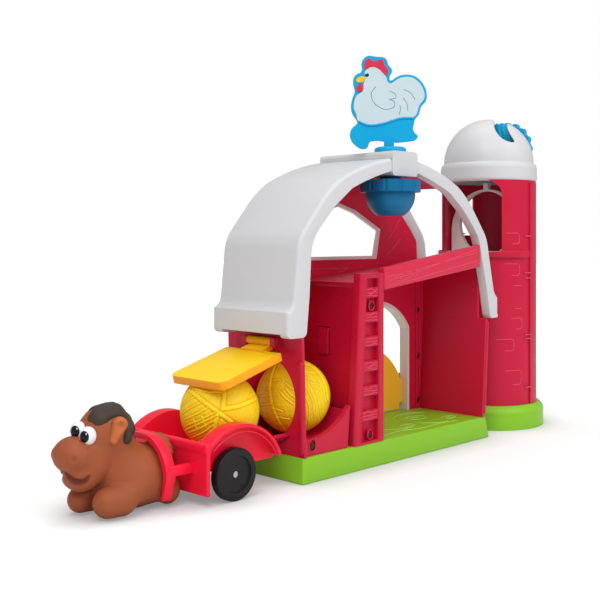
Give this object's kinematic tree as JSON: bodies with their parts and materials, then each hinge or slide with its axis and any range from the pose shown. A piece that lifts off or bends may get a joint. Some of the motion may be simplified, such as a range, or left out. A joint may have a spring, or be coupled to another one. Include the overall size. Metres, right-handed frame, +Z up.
{
  "type": "farm_playset",
  "caption": "Toy farm playset: open barn with ball chute, exit flap, double doors and loft, spinning weathervane, silo, horse cart and balls",
  "frame": {"origin": "middle of the barn base's underside", "axes": "+X along the barn towards the silo, +Y away from the open side, +Z up"},
  "size_m": [0.587, 0.1176, 0.3592],
  "materials": {
    "red_plastic": "satin",
    "white_plastic": "satin",
    "green_plastic": "satin",
    "blue_plastic": "satin",
    "yellow_plastic": "satin",
    "orange_plastic": "satin",
    "pink_red_plastic": "satin",
    "black_plastic": "matte",
    "brown_plastic": "matte",
    "dark_brown_plastic": "matte",
    "board_green": "matte",
    "battery_sleeve": "satin",
    "spring_steel": "satin"
  },
  "bodies": {
    "barn": {"base_shell": "green_plastic", "base_plate": "green_plastic", "base_screws": "spring_steel", "battery_door": "green_plastic", "batteries": "battery_sleeve", "battery_contacts": "spring_steel", "speaker": "black_plastic", "circuit_board": "board_green", "left_wall": "red_plastic", "right_wall": "red_plastic", "roof_shell": "white_plastic", "roof_lining": "red_plastic", "ridge_cap": "white_plastic", "front_wall": "red_plastic", "door_pins": "spring_steel", "window_trim": "white_plastic", "door_trim": "white_plastic", "ladder_tower": "red_plastic", "sound_switch": "black_plastic", "loft_floor": "red_plastic", "loft_beam": "red_plastic", "ramp": "red_plastic", "flap_pin": "spring_steel", "silo_foot": "green_plastic", "silo_left_half": "red_plastic", "silo_right_half": "red_plastic", "silo_gate": "white_plastic", "silo_dome": "white_plastic"},
    "cart": {"cart_body": "pink_red_plastic", "cart_yoke": "pink_red_plastic"},
    "cart_wheelset": {"cart_wheels": "black_plastic", "cart_axle": "spring_steel"},
    "loaded_ball": {"cart_ball": "yellow_plastic"},
    "horse": {"horse_body": "brown_plastic", "horse_mane": "dark_brown_plastic", "horse_tail": "dark_brown_plastic", "horse_eyes": "white_plastic"},
    "flap": {"exit_flap": "yellow_plastic"},
    "waiting_ball": {"chute_ball": "yellow_plastic"},
    "left_leaf": {"left_door": "orange_plastic"},
    "right_leaf": {"right_door": "orange_plastic"},
    "trigger": {"sound_trigger": "red_plastic"},
    "knob": {"power_knob": "white_plastic"},
    "vane": {"vane_frame": "blue_plastic", "vane_body": "white_plastic", "vane_comb": "pink_red_plastic", "vane_beak": "orange_plastic", "vane_eye": "black_plastic", "vane_spindle": "white_plastic", "vane_rotor": "blue_plastic"},
    "dome_wheelset": {"dome_wheel": "blue_plastic", "dome_axle": "spring_steel"}
  },
  "joints": [
    {"name": "cart_roll", "type": "slide", "parent": "barn", "child": "cart", "axis": [-1, 0, 0], "range_m": [0, 0.08]},
    {"name": "cart_wheels_spin", "type": "hinge", "parent": "cart", "child": "cart_wheelset", "pos_m": [-0.199, -0.0015, 0.0198], "axis": [0, 1, 0], "continuous": true},
    {"name": "cart_ball_spin", "type": "hinge", "parent": "cart", "child": "loaded_ball", "pos_m": [-0.1782, -0.0045, 0.0591], "axis": [0, 1, 0], "continuous": true},
    {"name": "horse_slide", "type": "slide", "parent": "cart", "child": "horse", "axis": [-1, 0, 0], "range_m": [0, 0.08]},
    {"name": "exit_flap_lift", "type": "hinge", "parent": "barn", "child": "flap", "pos_m": [-0.137, -0.008, 0.112], "axis": [0, 1, 0], "range_deg": [0, 40.5]},
    {"name": "chute_ball_lift", "type": "slide", "parent": "barn", "child": "waiting_ball", "axis": [0.0499, 0, 0.9988], "range_m": [0, 0.1]},
    {"name": "left_door_swing", "type": "hinge", "parent": "barn", "child": "left_leaf", "pos_m": [-0.031, 0.0395, 0.055], "axis": [0, 0, 1], "range_deg": [0, 100]},
    {"name": "right_door_swing", "type": "hinge", "parent": "barn", "child": "right_leaf", "pos_m": [0.101, 0.0395, 0.055], "axis": [0, 0, -1], "range_deg": [0, 100]},
    {"name": "sound_trigger_press", "type": "hinge", "parent": "barn", "child": "trigger", "pos_m": [-0.06148, -0.0085, 0.11675], "axis": [0, -1, 0], "range_deg": [0, 3.5], "stiffness_Nm_per_rad": 0.02, "springref_deg": -1.72},
    {"name": "power_knob_slide", "type": "slide", "parent": "barn", "child": "knob", "axis": [1, 0, 0], "range_m": [0, 0.004]},
    {"name": "vane_spin", "type": "hinge", "parent": "barn", "child": "vane", "pos_m": [-0.003, -0.0355, 0.26], "axis": [0, 0, 1], "continuous": true},
    {"name": "dome_wheel_spin", "type": "hinge", "parent": "barn", "child": "dome_wheelset", "pos_m": [0.2053, -0.0105, 0.2915], "axis": [1, 0, 0], "continuous": true}
  ],
  "couplings": [
    {"joint": "exit_flap_lift", "follows": "cart_roll", "rad_per_m": 8.7266},
    {"joint": "cart_wheels_spin", "follows": "cart_roll", "rad_per_m": -50.505}
  ]
}
